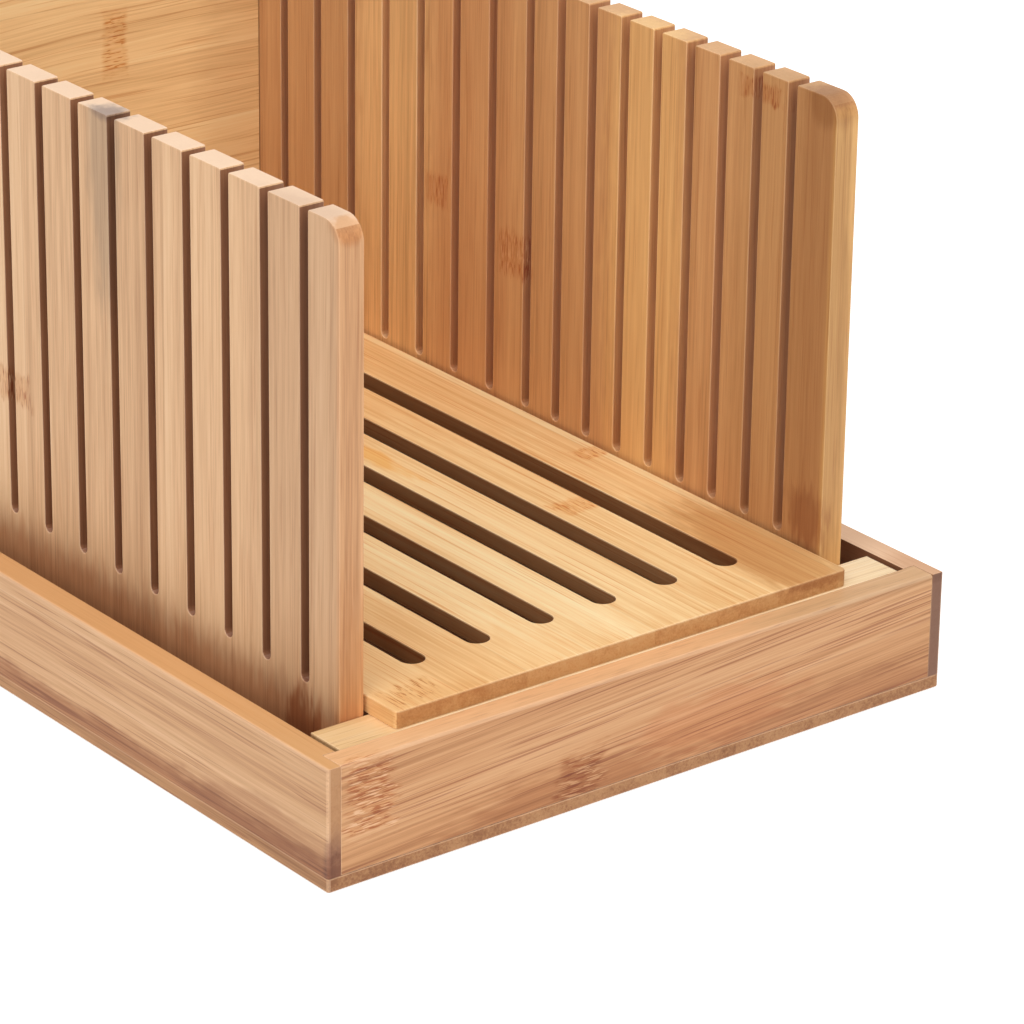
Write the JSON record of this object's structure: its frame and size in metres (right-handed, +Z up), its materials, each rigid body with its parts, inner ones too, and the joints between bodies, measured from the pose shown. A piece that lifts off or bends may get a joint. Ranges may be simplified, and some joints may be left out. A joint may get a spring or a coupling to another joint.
{
  "type": "bread slicer guide",
  "caption": "Wooden bread slicing guide: two slotted side panels and a lift-out back board over a slotted base board, standing in a shallow crumb tray.",
  "frame": {"origin": "centre of the crumb tray's underside, on the table", "axes": "+Z up, +Y from the open front towards the back board, +X to the right seen from the front"},
  "size_m": [0.18, 0.2958, 0.1464],
  "materials": {
    "tray_bottom": "satin bamboo",
    "tray_left_wall": "satin bamboo",
    "tray_right_wall": "satin bamboo",
    "tray_front_wall": "satin bamboo",
    "tray_back_wall": "satin bamboo",
    "front_cleat": "satin bamboo",
    "back_cleat": "satin bamboo",
    "base_board": "satin bamboo",
    "left_panel": "satin bamboo",
    "right_panel": "satin bamboo",
    "back_board": "satin bamboo",
    "pins": "plain steel rod"
  },
  "bodies": {
    "tray": {"tray_bottom": "tray_bottom", "tray_left_wall": "tray_left_wall", "tray_right_wall": "tray_right_wall", "tray_front_wall": "tray_front_wall", "tray_back_wall": "tray_back_wall"},
    "frame": {"front_cleat": "front_cleat", "back_cleat": "back_cleat", "pin_left_front": "pins", "pin_left_back": "pins", "pin_right_front": "pins", "pin_right_back": "pins"},
    "left_side": {"left_panel": "left_panel"},
    "right_side": {"right_panel": "right_panel"},
    "base": {"base_board": "base_board"},
    "stop": {"back_board": "back_board"}
  },
  "joints": [
    {"name": "guide_lift", "type": "slide", "parent": "tray", "child": "frame", "axis": [0, 0, 1], "range_m": [0, 0.06]},
    {"name": "left_panel_tilt", "type": "hinge", "parent": "frame", "child": "left_side", "pos_m": [-0.0702, 0, 0.01], "axis": [0, -1, 0], "range_deg": [0, 24]},
    {"name": "right_panel_tilt", "type": "hinge", "parent": "frame", "child": "right_side", "pos_m": [0.0702, 0, 0.017], "axis": [0, 1, 0], "range_deg": [0, 33]},
    {"name": "base_board_lift", "type": "slide", "parent": "frame", "child": "base", "axis": [0, 0, 1], "range_m": [0, 0.125]},
    {"name": "back_board_lift", "type": "slide", "parent": "base", "child": "stop", "axis": [0, 0, 1], "range_m": [0, 0.12]}
  ]
}
